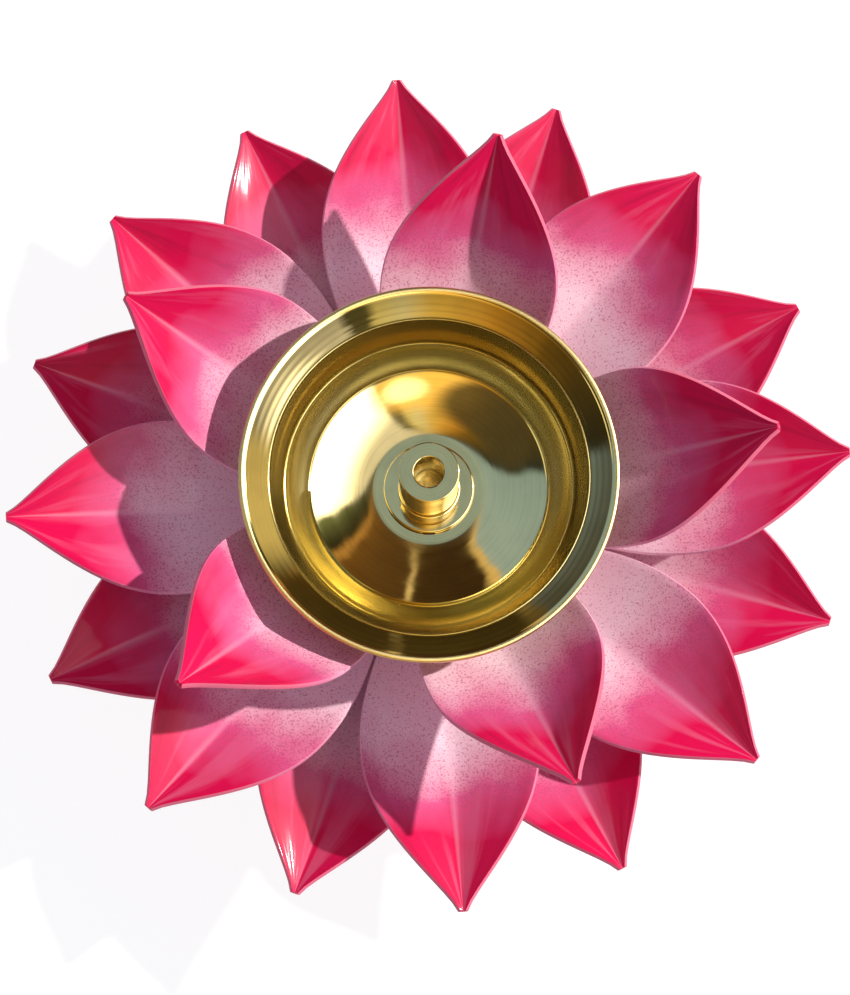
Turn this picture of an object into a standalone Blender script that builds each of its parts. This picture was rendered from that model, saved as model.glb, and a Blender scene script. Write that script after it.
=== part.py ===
"""Lotus oil lamp: a turned brass oil bowl above three tiers of painted sheet petals on a spun foot.

Every piece is turned, pressed or cut about the same upright centre line, and one screw through
the middle holds the stack together. The lamp stands on z = 0. All sizes are in metres.
"""

import math

import bmesh
import bpy
from mathutils import Matrix, Vector

# Gaps
SEAT_GAP = 0.0003               # between faces that touch on the real lamp
SCREW_CLEARANCE = 0.0003        # around the screw, in every hole it passes
TIER_CLEARANCE = 0.0004         # around a spigot, so that a tier of petals turns on it
HOLDER_CLEARANCE = 0.0003       # between the wick holder's skirt and what it covers

# Centre screw, nut and washers
SCREW_RADIUS = 0.0020
SCREW_HEAD_RADIUS = 0.0040
SCREW_HEAD_HEIGHT = 0.0031
SCREW_BELOW_NUT = 0.0029
SCREW_END_HEIGHT = 0.0026       # the screw's end above the surface the lamp stands on
RECESS_LENGTH = 0.0044
RECESS_WIDTH = 0.0011
RECESS_DEPTH = 0.0018
NUT_ACROSS_FLATS = 0.0070
NUT_HEIGHT = 0.0032
SPRING_WASHER_RADIUS = 0.0038
SPRING_WASHER_THICKNESS = 0.0009
SPRING_WASHER_SPLIT = 14.0      # degrees
BASE_WASHER_RADIUS = 0.0075
BASE_WASHER_THICKNESS = 0.0010
SEAL_WASHER_RADIUS = 0.0040
SEAL_WASHER_THICKNESS = 0.0008

# Foot and its pad
PAD_THICKNESS = 0.0012
FOOT_RADIUS = 0.0270
FOOT_FLANGE = 0.0045            # width of the flat ring that stands on the pad
FOOT_RIM_HEIGHT = 0.0014
FOOT_NECK_RADIUS = 0.0135
FOOT_WALL = 0.0012

# Spacers between the tiers
SPACER_RADIUS = 0.0080
SPIGOT_RADIUS = 0.0050
LOWEST_SPACER_HEIGHT = 0.0020
TIER_RISE = 0.0055              # from one tier of petals to the next

# Bowl and its seat
BOWL_SEAT_RADIUS = 0.0100
BOWL_SEAT_HEIGHT = 0.0020
BOWL_RADIUS = 0.0310
BOWL_DEPTH = 0.0158             # rim to inside floor
BOWL_WALL = 0.0010
BOWL_FLOOR = 0.0012
WALL_FOOT_RADIUS = 0.0239       # where the steep wall ends, on the inside
WALL_FOOT_RISE = 0.0052         # height of that ring over the inside floor
DISH_RADIUS = 0.0200            # where the shallow bottom begins, on the inside
DISH_RISE = 0.0020              # height of that ring over the inside floor
LIP_WIDTH = 0.0009
LIP_THICKNESS = 0.0012
BAND_WIDTH = 0.0040             # flared band under the lip, measured across
BAND_DEPTH = 0.0030
BAND_STEP = 0.0004

# Wick holder
HOLDER_BELOW_RIM = 0.0          # from the bowl's rim down to the holder's top
WICK_BORE_RADIUS = 0.0025
COLLAR_RADIUS = 0.00495
COLLAR_HEIGHT = 0.0060
COLLAR_CHAMFER = 0.0002
GROOVE_DEPTH = 0.0004           # groove that parts the collar from the stem
STEM_RADIUS = 0.00485
SKIRT_RADIUS = 0.0076
SKIRT_EDGE = 0.0009             # upright edge at the foot of the skirt
SKIRT_HEIGHT = 0.0010           # of the skirt where it meets the stem
SKIRT_FILLET = 0.0004
SKIRT_SPOT_MARGIN = 0.0005      # flat floor of the bowl, beyond the skirt
OIL_NOTCHES = 4
OIL_NOTCH_WIDTH = 0.0020
OIL_NOTCH_HEIGHT = 0.0006

# Petals. All come from one die: the outline is set by its distance back from the tip.
SHEET = 0.0008
PETAL_HALF_WIDTH = 0.0145
PETAL_WIDEST = 0.0260           # from the tip back to the widest place
PETAL_TIP_RADIUS = 0.00045
PETAL_BEAK = 0.0026             # length over which the tip is pinched
BEAK_PINCH = 0.32
VALLEY_SLOPE = 0.29             # rise of a petal's edge over its half width, at the widest place
BEAK_SLOPE = 0.46               # the same at the tip
VALLEY_CURVE = 1.12             # 1 is a straight-sided valley

# Tiers, top to bottom: petals, first petal's bearing and lift in degrees, lengths in metres
INNER_PETALS = 5
INNER_BEARING = 6.4
INNER_LIFTS = (31.4, 32.6, 31.5, 38.6, 33.4)    # set by hand on the real lamp, petal by petal
INNER_LENGTH = 0.0500
INNER_ROOT_RADIUS = 0.0135      # where the petals part, and where they bend up
INNER_BOW = -0.0020             # sag of a petal's middle below a straight line
MIDDLE_PETALS = 8
MIDDLE_BEARING = 4.5
MIDDLE_LIFT = 13.9
OUTER_PETALS = 8
OUTER_BEARING = 26.8
OUTER_LIFT = 12.9
LOWER_LENGTH = 0.0600           # petals of the two lower tiers, from bend to tip
LOWER_ROOT_RADIUS = 0.0120      # where the petals bend up
LOWER_NOTCH_DISTANCE = 0.0120   # from there out to where the petals part

# Fineness of the faceted surfaces
BOWL_SIDES = 48
FOOT_SIDES = 36
SMALL_SIDES = 24
HOLDER_SIDES = 32
DISH_STEPS = 7
FOOT_STEPS = 6
SKIRT_STEPS = 3
PETAL_ROWS = 10
PETAL_COLUMNS = 6

# Heights, worked out from the surface the lamp stands on
NUT_BOTTOM = SCREW_END_HEIGHT + SCREW_BELOW_NUT
NUT_TOP = NUT_BOTTOM + NUT_HEIGHT
SPRING_WASHER_BOTTOM = NUT_TOP + SEAT_GAP
BASE_WASHER_BOTTOM = SPRING_WASHER_BOTTOM + SPRING_WASHER_THICKNESS + SEAT_GAP
FOOT_UNDERSIDE = BASE_WASHER_BOTTOM + BASE_WASHER_THICKNESS + SEAT_GAP
FOOT_TOP = FOOT_UNDERSIDE + FOOT_WALL
FOOT_BOTTOM = PAD_THICKNESS + SEAT_GAP
LOWER_SHOULDER = FOOT_TOP + SEAT_GAP + LOWEST_SPACER_HEIGHT
MIDDLE_SHOULDER = LOWER_SHOULDER + TIER_RISE
UPPER_SHOULDER = MIDDLE_SHOULDER + TIER_RISE
SPIGOT_HEIGHT = SHEET + 2 * SEAT_GAP
SEAT_BOTTOM = UPPER_SHOULDER + SPIGOT_HEIGHT + SEAT_GAP
SEAT_TOP = SEAT_BOTTOM + BOWL_SEAT_HEIGHT
BOWL_BOTTOM = SEAT_TOP + SEAT_GAP
BOWL_INSIDE = BOWL_BOTTOM + BOWL_FLOOR
RIM_HEIGHT = BOWL_INSIDE + BOWL_DEPTH
SEAL_BOTTOM = BOWL_INSIDE + SEAT_GAP
HEAD_UNDERSIDE = SEAL_BOTTOM + SEAL_WASHER_THICKNESS + SEAT_GAP
HEAD_TOP = HEAD_UNDERSIDE + SCREW_HEAD_HEIGHT
SCREW_HOLE = SCREW_RADIUS + SCREW_CLEARANCE
SPIGOT_HOLE = SPIGOT_RADIUS + TIER_CLEARANCE
SKIRT_INNER = max(SCREW_HEAD_RADIUS, SEAL_WASHER_RADIUS) + HOLDER_CLEARANCE
BOWL_FLAT_RADIUS = SKIRT_RADIUS + SKIRT_SPOT_MARGIN

BRASS = ("polished_brass", (0.78, 0.57, 0.20), 1.0, 0.12)
GILT = ("gilt_steel", (0.74, 0.55, 0.24), 1.0, 0.32)
PINK = ("pink_enamel", (0.82, 0.05, 0.19), 0.0, 0.25)
ZINC = ("zinc_plated_steel", (0.62, 0.63, 0.65), 1.0, 0.35)
RUBBER = ("black_rubber", (0.03, 0.03, 0.03), 0.0, 0.85)


def clear_scene():
    for item in list(bpy.data.objects):
        bpy.data.objects.remove(item, do_unlink=True)


def material(name, colour, metallic, roughness):
    """The named material, made the first time it is asked for."""
    found = bpy.data.materials.get(name)
    if found:
        return found
    made = bpy.data.materials.new(name)
    made.use_nodes = True
    shader = made.node_tree.nodes["Principled BSDF"]
    shader.inputs["Base Color"].default_value = (*colour, 1.0)
    shader.inputs["Metallic"].default_value = metallic
    shader.inputs["Roughness"].default_value = roughness
    return made


def place(name, mesh_data, finish, parent, shade_angle=32.0, closed=True):
    """Turn a bmesh into a named object under its parent. An open sheet keeps the side it faces."""
    if closed:
        bmesh.ops.recalc_face_normals(mesh_data, faces=mesh_data.faces)
    mesh = bpy.data.meshes.new(name)
    mesh_data.to_mesh(mesh)
    mesh_data.free()
    mesh.shade_smooth()
    mesh.set_sharp_from_angle(angle=math.radians(shade_angle))
    mesh.materials.append(material(*finish))
    item = bpy.data.objects.new(name, mesh)
    bpy.context.scene.collection.objects.link(item)
    item.parent = parent
    return item


def turned(profile, sides):
    """Spin a closed outline of (radius, height) points once round the centre line."""
    shape = bmesh.new()
    points = [shape.verts.new((radius, 0.0, height)) for radius, height in profile]
    edges = [shape.edges.new(pair) for pair in zip(points, points[1:] + points[:1])]
    bmesh.ops.spin(shape, geom=points + edges, cent=(0, 0, 0), axis=(0, 0, 1),
                   angle=math.tau, steps=sides, use_merge=True)
    bmesh.ops.remove_doubles(shape, verts=shape.verts, dist=1e-6)
    return shape


def box(centre, size, turn=0.0):
    """A box cutter, turned about the centre line by an angle in degrees."""
    shape = bmesh.new()
    bmesh.ops.create_cube(shape, size=1.0)
    bmesh.ops.scale(shape, vec=Vector(size), verts=shape.verts)
    bmesh.ops.translate(shape, vec=Vector(centre), verts=shape.verts)
    bmesh.ops.rotate(shape, cent=(0, 0, 0), matrix=Matrix.Rotation(math.radians(turn), 3, "Z"),
                     verts=shape.verts)
    return shape


def cut(item, cutter_data, name, operation="DIFFERENCE"):
    """Add a Boolean to an object, with a hidden cutter made from a bmesh."""
    cutter = place(name, cutter_data, ZINC, item.parent)
    cutter.hide_render = True
    cutter.display_type = "WIRE"
    boolean = item.modifiers.new(name, "BOOLEAN")
    boolean.object = cutter
    boolean.operation = operation
    boolean.solver = "EXACT"


def arc(centre, radii, start, end, steps):
    """Points of an elliptic arc in the (radius, height) plane; angles in degrees."""
    points = []
    for step in range(steps + 1):
        angle = math.radians(start + (end - start) * step / steps)
        points.append((centre[0] + radii[0] * math.cos(angle), centre[1] + radii[1] * math.sin(angle)))
    return points


def washer(name, radius, hole, bottom, thickness, finish, parent):
    top = bottom + thickness
    profile = [(hole, bottom), (radius, bottom), (radius, top), (hole, top)]
    return place(name, turned(profile, SMALL_SIDES), finish, parent)


def build_foot(parent):
    """Spun foot: flat plate on top, trumpet side, flat ring below, on a rubber pad."""
    flare_top = FOOT_TOP - FOOT_WALL
    rim_top = FOOT_BOTTOM + FOOT_RIM_HEIGHT
    rim_inner = FOOT_RADIUS - FOOT_RIM_HEIGHT
    flange_inner = FOOT_RADIUS - FOOT_FLANGE
    inner_neck = FOOT_NECK_RADIUS - FOOT_WALL
    inner_top = FOOT_UNDERSIDE - FOOT_WALL
    inner_bottom = rim_top - FOOT_WALL
    outer_side = arc((rim_inner, flare_top), (rim_inner - FOOT_NECK_RADIUS, flare_top - rim_top),
                     180, 270, FOOT_STEPS)
    rim = arc((rim_inner, FOOT_BOTTOM + FOOT_RIM_HEIGHT / 2), (FOOT_RIM_HEIGHT, FOOT_RIM_HEIGHT / 2),
              60, -90, 4)
    inner_side = arc((flange_inner, inner_top), (flange_inner - inner_neck, inner_top - inner_bottom),
                     270, 180, FOOT_STEPS)
    profile = [(SCREW_HOLE, FOOT_TOP), (FOOT_NECK_RADIUS - FOOT_WALL / 2, FOOT_TOP)]
    profile += outer_side + rim + [(flange_inner, FOOT_BOTTOM)] + inner_side
    profile += [(inner_neck - FOOT_WALL / 2, FOOT_UNDERSIDE), (SCREW_HOLE, FOOT_UNDERSIDE)]
    place("base_stand", turned(profile, FOOT_SIDES), GILT, parent)

    pad = [(flange_inner, 0.0), (rim_inner, 0.0), (rim_inner, PAD_THICKNESS), (flange_inner, PAD_THICKNESS)]
    place("foot_pad", turned(pad, FOOT_SIDES), RUBBER, parent)


def build_nut_and_washers(parent):
    washer("base_washer", BASE_WASHER_RADIUS, SCREW_HOLE, BASE_WASHER_BOTTOM, BASE_WASHER_THICKNESS,
           ZINC, parent)
    build_spring_washer(parent)

    corner = NUT_ACROSS_FLATS / math.sqrt(3)
    chamfer = corner - NUT_ACROSS_FLATS / 2
    flat = corner - chamfer
    blank = [(SCREW_HOLE, NUT_BOTTOM), (flat, NUT_BOTTOM), (corner, NUT_BOTTOM + chamfer),
             (corner, NUT_TOP - chamfer), (flat, NUT_TOP), (SCREW_HOLE, NUT_TOP)]
    nut = place("hex_nut", turned(blank, SMALL_SIDES), ZINC, parent)
    prism = bmesh.new()
    bmesh.ops.create_cone(prism, cap_ends=True, segments=6, radius1=corner, radius2=corner,
                          depth=NUT_HEIGHT + 2 * SEAT_GAP)
    bmesh.ops.translate(prism, vec=(0, 0, (NUT_BOTTOM + NUT_TOP) / 2), verts=prism.verts)
    cut(nut, prism, "nut_flats", "INTERSECT")


def build_spring_washer(parent):
    """A ring cut through on one side, squeezed flat by the nut."""
    shape = bmesh.new()
    bottom, top = SPRING_WASHER_BOTTOM, SPRING_WASHER_BOTTOM + SPRING_WASHER_THICKNESS
    section = [(SCREW_HOLE, bottom), (SPRING_WASHER_RADIUS, bottom),
               (SPRING_WASHER_RADIUS, top), (SCREW_HOLE, top)]
    half_split = math.radians(SPRING_WASHER_SPLIT / 2)
    start = Matrix.Rotation(half_split, 3, "Z")
    points = [shape.verts.new(start @ Vector((radius, 0.0, height))) for radius, height in section]
    face = shape.faces.new(points)
    geometry = [face] + list(face.edges) + points
    bmesh.ops.spin(shape, geom=geometry, cent=(0, 0, 0), axis=(0, 0, 1),
                   angle=math.tau - 2 * half_split, steps=SMALL_SIDES)
    place("spring_washer", shape, ZINC, parent)


def build_spacers(parent):
    """Stepped bushes: a body that carries a tier and a spigot that the tier turns on."""
    layout = [("lower_spacer", FOOT_TOP + SEAT_GAP, LOWER_SHOULDER),
              ("middle_spacer", LOWER_SHOULDER + SPIGOT_HEIGHT + SEAT_GAP, MIDDLE_SHOULDER),
              ("upper_spacer", MIDDLE_SHOULDER + SPIGOT_HEIGHT + SEAT_GAP, UPPER_SHOULDER)]
    for name, bottom, shoulder in layout:
        top = shoulder + SPIGOT_HEIGHT
        profile = [(SCREW_HOLE, bottom), (SPACER_RADIUS, bottom), (SPACER_RADIUS, shoulder),
                   (SPIGOT_RADIUS, shoulder), (SPIGOT_RADIUS, top), (SCREW_HOLE, top)]
        place(name, turned(profile, SMALL_SIDES), BRASS, parent)


def smooth(share):
    """Ease from 0 to 1 without a corner at either end."""
    share = min(max(share, 0.0), 1.0)
    return share * share * (3.0 - 2.0 * share)


def petal_half_width(back, root_half_width, free_length):
    """Half width of a petal at a distance back from its tip."""
    if back < PETAL_WIDEST:
        pinch = 1.0 - BEAK_PINCH * math.exp(-back / PETAL_BEAK)
        blunt = PETAL_TIP_RADIUS * math.exp(-back / PETAL_BEAK)
        return blunt + PETAL_HALF_WIDTH * math.sin(back / PETAL_WIDEST * math.pi / 2) * pinch
    share = max(free_length - back, 0.0) / (free_length - PETAL_WIDEST)
    swell = math.sin(share * math.pi / 2) ** 1.2
    return root_half_width + (PETAL_HALF_WIDTH - root_half_width) * swell


def petal_point(along, across, tier, lift):
    """A point of a petal that lies along +X, at a distance along from its bend and a share across."""
    length, root, notch = tier["length"], tier["root"], tier["notch"]
    sector = math.pi / tier["petals"]
    free_length = length - (notch - root) / math.cos(lift)
    if along <= 0.0:
        angle = across * sector
        radius = root + along
        return Vector((radius * math.cos(angle), radius * math.sin(angle), 0.0))
    middle = root + along * math.cos(lift)
    half_width = petal_half_width(length - along, notch * math.sin(sector), free_length)
    if middle <= notch:
        half_width = middle * math.sin(sector)
    angle = across * math.asin(half_width / middle)
    straight = smooth((middle - notch) / (length - PETAL_WIDEST))
    x = middle * (1.0 - (1.0 - straight) * (1.0 - math.cos(angle)))
    beak = smooth(1.0 - (length - along) / PETAL_WIDEST)
    slope = VALLEY_SLOPE * smooth(1.8 * along / length) + (BEAK_SLOPE - VALLEY_SLOPE) * beak
    rise = half_width * slope * abs(across) ** VALLEY_CURVE + tier["bow"] * math.sin(math.pi * along / length)
    return Vector((x - rise * math.sin(lift), middle * math.sin(angle),
                   along * math.sin(lift) + rise * math.cos(lift)))


def build_petal_tier(name, shoulder, tier, parent):
    """One sheet with all the petals of a tier, pressed and bent up from a flat disc."""
    shape = bmesh.new()
    length, root, notch = tier["length"], tier["root"], tier["notch"]
    for number in range(tier["petals"]):
        lift = math.radians(tier["lifts"][number % len(tier["lifts"])])
        to_notch = (notch - root) / math.cos(lift)
        rows = [SPIGOT_HOLE - root, 0.0] + ([to_notch] if to_notch > 0 else [])
        rows += [to_notch + (length - to_notch) * (row / PETAL_ROWS) for row in range(1, PETAL_ROWS + 1)]
        turn = Matrix.Rotation(math.radians(tier["bearing"] + 360.0 / tier["petals"] * number), 3, "Z")
        grid = []
        for along in rows:
            grid.append([])
            for column in range(PETAL_COLUMNS + 1):
                across = 2.0 * column / PETAL_COLUMNS - 1.0
                point = turn @ petal_point(along, across, tier, lift)
                point.z += shoulder + SEAT_GAP + SHEET
                grid[-1].append(shape.verts.new(point))
        for lower, upper in zip(grid, grid[1:]):
            for column in range(PETAL_COLUMNS):
                shape.faces.new((lower[column], upper[column], upper[column + 1], lower[column + 1]))
    bmesh.ops.remove_doubles(shape, verts=shape.verts, dist=1e-6)
    tier_sheet = place(name, shape, PINK, parent, shade_angle=50.0, closed=False)
    solidify = tier_sheet.modifiers.new("sheet", "SOLIDIFY")
    solidify.thickness = SHEET
    solidify.offset = -1.0


def build_petals(parent):
    lower = {"length": LOWER_LENGTH, "root": LOWER_ROOT_RADIUS, "bow": 0.0,
             "notch": LOWER_ROOT_RADIUS + LOWER_NOTCH_DISTANCE}
    outer = dict(lower, petals=OUTER_PETALS, bearing=OUTER_BEARING, lifts=(OUTER_LIFT,))
    middle = dict(lower, petals=MIDDLE_PETALS, bearing=MIDDLE_BEARING, lifts=(MIDDLE_LIFT,))
    inner = {"length": INNER_LENGTH, "root": INNER_ROOT_RADIUS, "bow": INNER_BOW,
             "notch": INNER_ROOT_RADIUS,
             "petals": INNER_PETALS, "bearing": INNER_BEARING, "lifts": INNER_LIFTS}
    build_petal_tier("outer_petal_ring", LOWER_SHOULDER, outer, parent)
    build_petal_tier("middle_petal_ring", MIDDLE_SHOULDER, middle, parent)
    build_petal_tier("inner_petal_ring", UPPER_SHOULDER, inner, parent)


def through_wall(upper, corner, lower):
    """The place outside a corner of the bowl's inside, square through the wall to both faces there."""
    above = math.atan2(upper[1] - corner[1], upper[0] - corner[0])
    below = math.atan2(corner[1] - lower[1], corner[0] - lower[0])
    middle, half = (above + below) / 2, (above - below) / 2
    reach = BOWL_WALL / math.cos(half)
    return (corner[0] + reach * math.sin(middle), corner[1] - reach * math.cos(middle))


def dish_curve(edge, flat_radius, flat_height):
    """Shallow bottom of the bowl, from its edge down to where it runs smoothly into the flat floor."""
    height, width = edge[1] - flat_height, edge[0] - flat_radius
    radius = (height ** 2 + width ** 2) / (2 * height)
    start = math.degrees(math.asin((height - radius) / radius))
    return arc((flat_radius, flat_height + radius), (radius, radius), start, -90, DISH_STEPS)


def build_bowl(parent):
    """Turned bowl: lip, flared band with a step, steep wall, cone and shallow dish; and the seat under it."""
    washer("bowl_seat", BOWL_SEAT_RADIUS, SCREW_HOLE, SEAT_BOTTOM, BOWL_SEAT_HEIGHT, BRASS, parent)

    lip_inner = BOWL_RADIUS - LIP_WIDTH
    step_radius = lip_inner - BAND_WIDTH / 2
    step_height = RIM_HEIGHT - BAND_DEPTH / 2
    wall_top = (lip_inner - BAND_WIDTH, RIM_HEIGHT - BAND_DEPTH)
    wall_foot = (WALL_FOOT_RADIUS, BOWL_INSIDE + WALL_FOOT_RISE)
    dish_edge = (DISH_RADIUS, BOWL_INSIDE + DISH_RISE)
    dish = dish_curve(dish_edge, BOWL_FLAT_RADIUS, BOWL_INSIDE)
    inside = [(BOWL_RADIUS, RIM_HEIGHT), (lip_inner, RIM_HEIGHT),
              (step_radius, step_height + BAND_STEP / 2),
              (step_radius - BAND_STEP / 2, step_height - BAND_STEP / 2),
              (wall_top[0] + BAND_STEP, wall_top[1] + BAND_STEP), wall_top, wall_foot]
    inside += dish
    inside += [(SCREW_HOLE, BOWL_INSIDE)]

    outer_edge = through_wall(wall_foot, dish_edge, dish[1])
    outside = [(SCREW_HOLE, BOWL_BOTTOM)]
    outside += reversed(dish_curve(outer_edge, BOWL_FLAT_RADIUS, BOWL_BOTTOM))
    outside += [through_wall(wall_top, wall_foot, dish_edge), (wall_top[0] + BOWL_WALL, wall_top[1]),
                (step_radius + BOWL_WALL, step_height - BOWL_WALL / 2),
                (BOWL_RADIUS, RIM_HEIGHT - LIP_THICKNESS)]
    place("oil_bowl", turned(inside + outside, BOWL_SIDES), BRASS, parent)


def build_screw(parent):
    """Pan head screw from inside the bowl, with a cross recess, down through the whole stack."""
    washer("seal_washer", SEAL_WASHER_RADIUS, SCREW_HOLE, SEAL_BOTTOM, SEAL_WASHER_THICKNESS, RUBBER, parent)

    crown = SCREW_HEAD_HEIGHT * 0.45
    point = SCREW_RADIUS * 0.3
    profile = [(0.0, HEAD_TOP)]
    profile += arc((SCREW_HEAD_RADIUS - crown, HEAD_TOP - crown), (crown, crown), 80, 0, 3)
    profile += [(SCREW_HEAD_RADIUS, HEAD_UNDERSIDE), (SCREW_RADIUS, HEAD_UNDERSIDE),
                (SCREW_RADIUS, SCREW_END_HEIGHT + point), (SCREW_RADIUS - point, SCREW_END_HEIGHT),
                (0.0, SCREW_END_HEIGHT)]
    screw = place("centre_screw", turned(profile, SMALL_SIDES), BRASS, parent)
    for turn in (0.0, 90.0):
        slot = box((0, 0, HEAD_TOP), (RECESS_LENGTH, RECESS_WIDTH, 2 * RECESS_DEPTH), turn)
        cut(screw, slot, "recess_%d" % turn)


def build_wick_holder(parent):
    """Bored tube with a collar on top and a low skirt at its foot, slipped over the screw's head."""
    bottom = BOWL_INSIDE + SEAT_GAP
    top = RIM_HEIGHT - HOLDER_BELOW_RIM
    roof = HEAD_TOP + HOLDER_CLEARANCE
    groove = top - COLLAR_HEIGHT
    skirt_top = bottom + SKIRT_HEIGHT
    profile = [(WICK_BORE_RADIUS, roof), (WICK_BORE_RADIUS, top - COLLAR_CHAMFER),
               (WICK_BORE_RADIUS + COLLAR_CHAMFER, top), (COLLAR_RADIUS - COLLAR_CHAMFER, top),
               (COLLAR_RADIUS, top - COLLAR_CHAMFER), (COLLAR_RADIUS, groove),
               (STEM_RADIUS - GROOVE_DEPTH, groove - GROOVE_DEPTH), (STEM_RADIUS, groove - 2 * GROOVE_DEPTH)]
    profile += arc((STEM_RADIUS + SKIRT_FILLET, skirt_top + SKIRT_FILLET), (SKIRT_FILLET, SKIRT_FILLET),
                   180, 258, SKIRT_STEPS)
    profile += [(SKIRT_RADIUS, bottom + SKIRT_EDGE), (SKIRT_RADIUS, bottom),
                (SKIRT_INNER, bottom), (SKIRT_INNER, roof)]
    holder = place("wick_holder", turned(profile, HOLDER_SIDES), BRASS, parent)
    notch_length = 2 * (SKIRT_RADIUS + SKIRT_EDGE)
    for notch in range(OIL_NOTCHES // 2):
        slot = box((0, 0, bottom), (notch_length, OIL_NOTCH_WIDTH, 2 * OIL_NOTCH_HEIGHT),
                   360.0 / OIL_NOTCHES * notch)
        cut(holder, slot, "oil_notch_%d" % notch)


def main():
    clear_scene()
    lamp = bpy.data.objects.new("lamp", None)
    bpy.context.scene.collection.objects.link(lamp)
    build_foot(lamp)
    build_nut_and_washers(lamp)
    build_spacers(lamp)
    build_petals(lamp)
    build_bowl(lamp)
    build_screw(lamp)
    build_wick_holder(lamp)


main()
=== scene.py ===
"""Looks of a lotus oil lamp: polished brass bowl and wick holder, enamelled petals, lacquered foot."""

import math

import bpy
from bpy.props import FloatProperty, FloatVectorProperty, IntProperty, PointerProperty
from mathutils import Matrix, Vector


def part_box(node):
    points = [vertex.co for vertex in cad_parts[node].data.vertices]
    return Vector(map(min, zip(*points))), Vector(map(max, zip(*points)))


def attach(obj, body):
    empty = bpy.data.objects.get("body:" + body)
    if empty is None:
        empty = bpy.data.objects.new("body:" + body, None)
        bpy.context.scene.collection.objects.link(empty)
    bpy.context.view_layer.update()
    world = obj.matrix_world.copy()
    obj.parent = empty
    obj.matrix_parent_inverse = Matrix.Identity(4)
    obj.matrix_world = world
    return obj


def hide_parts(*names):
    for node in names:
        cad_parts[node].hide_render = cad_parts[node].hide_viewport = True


bl_info = {
    "name": "Lotus Oil Lamp",
    "version": (1, 0, 0),
    "blender": (4, 5, 0),
    "location": "View3D > Sidebar > Lotus Lamp",
    "description": "Dresses the packed lotus oil lamp with fine pieces and real finishes",
    "category": "Object",
}

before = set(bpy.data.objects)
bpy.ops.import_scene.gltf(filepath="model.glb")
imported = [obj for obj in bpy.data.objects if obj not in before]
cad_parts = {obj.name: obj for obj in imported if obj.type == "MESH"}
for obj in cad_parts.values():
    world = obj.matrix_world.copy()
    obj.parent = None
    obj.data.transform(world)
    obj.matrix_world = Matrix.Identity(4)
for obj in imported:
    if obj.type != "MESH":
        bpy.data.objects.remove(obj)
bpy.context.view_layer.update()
MM = 0.001


def linear(hex_colour):
    """An sRGB hex colour as linear red, green and blue."""
    channels = [int(hex_colour[start:start + 2], 16) / 255 for start in (1, 3, 5)]
    return tuple(c / 12.92 if c <= 0.04045 else ((c + 0.055) / 1.055) ** 2.4 for c in channels)


# Places that the frame gives
BOWL_LOW, BOWL_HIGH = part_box("oil_bowl")
HOLDER_LOW, HOLDER_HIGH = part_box("wick_holder")
FOOT_LOW, FOOT_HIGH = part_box("base_stand")
PAD_LOW, PAD_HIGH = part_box("foot_pad")
SCREW_LOW, SCREW_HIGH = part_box("centre_screw")
NUT_LOW, NUT_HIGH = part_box("hex_nut")
RIM_HEIGHT = BOWL_HIGH[2]
BOWL_RADIUS = BOWL_HIGH[0]

# Sizes that the pieces share with the solids they stand for
SEAT_GAP = 0.3 * MM
SCREW_RADIUS = 2.0 * MM
SCREW_HOLE = 2.3 * MM
SHEET = 0.8 * MM
SPIGOT_HOLE = 5.4 * MM

# Petal die, the same for every tier. Its tip narrows and steepens to a beak.
PETAL_HALF_WIDTH = 14.5 * MM
PETAL_WIDEST = 26.0 * MM
PETAL_TIP_RADIUS = 0.45 * MM
PETAL_BEAK = 2.6 * MM
BEAK_PINCH = 0.32
VALLEY_SLOPE = 0.29
BEAK_SLOPE = 0.46
VALLEY_CURVE = 1.12
CREASE_SHARE = 0.03             # rounding at the bottom of the valley, as a share of the half width
PETAL_MAP = 60.0 * MM           # length of the petal map, which counts back from the tip

# Bearings and lifts in degrees. A petal is as long as from its root circle to its tip, and parts from its
# neighbours at the notch circle.
TIERS = {
    "outer": {"node": "outer_petal_ring", "body": "outer_tier", "petals": 8, "bearing": 26.8,
              "lifts": (12.9,), "length": 60.0 * MM, "root": 12.0 * MM, "notch": 24.0 * MM, "bow": 0.0},
    "middle": {"node": "middle_petal_ring", "body": "middle_tier", "petals": 8, "bearing": 4.5,
               "lifts": (13.9,), "length": 60.0 * MM, "root": 12.0 * MM, "notch": 24.0 * MM, "bow": 0.0},
    "inner": {"node": "inner_petal_ring", "body": "inner_tier", "petals": 5, "bearing": 6.4,
              "lifts": (31.4, 32.6, 31.5, 38.6, 33.4), "length": 50.0 * MM, "root": 13.5 * MM,
              "notch": 13.5 * MM, "bow": -2.0 * MM},
}


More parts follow.
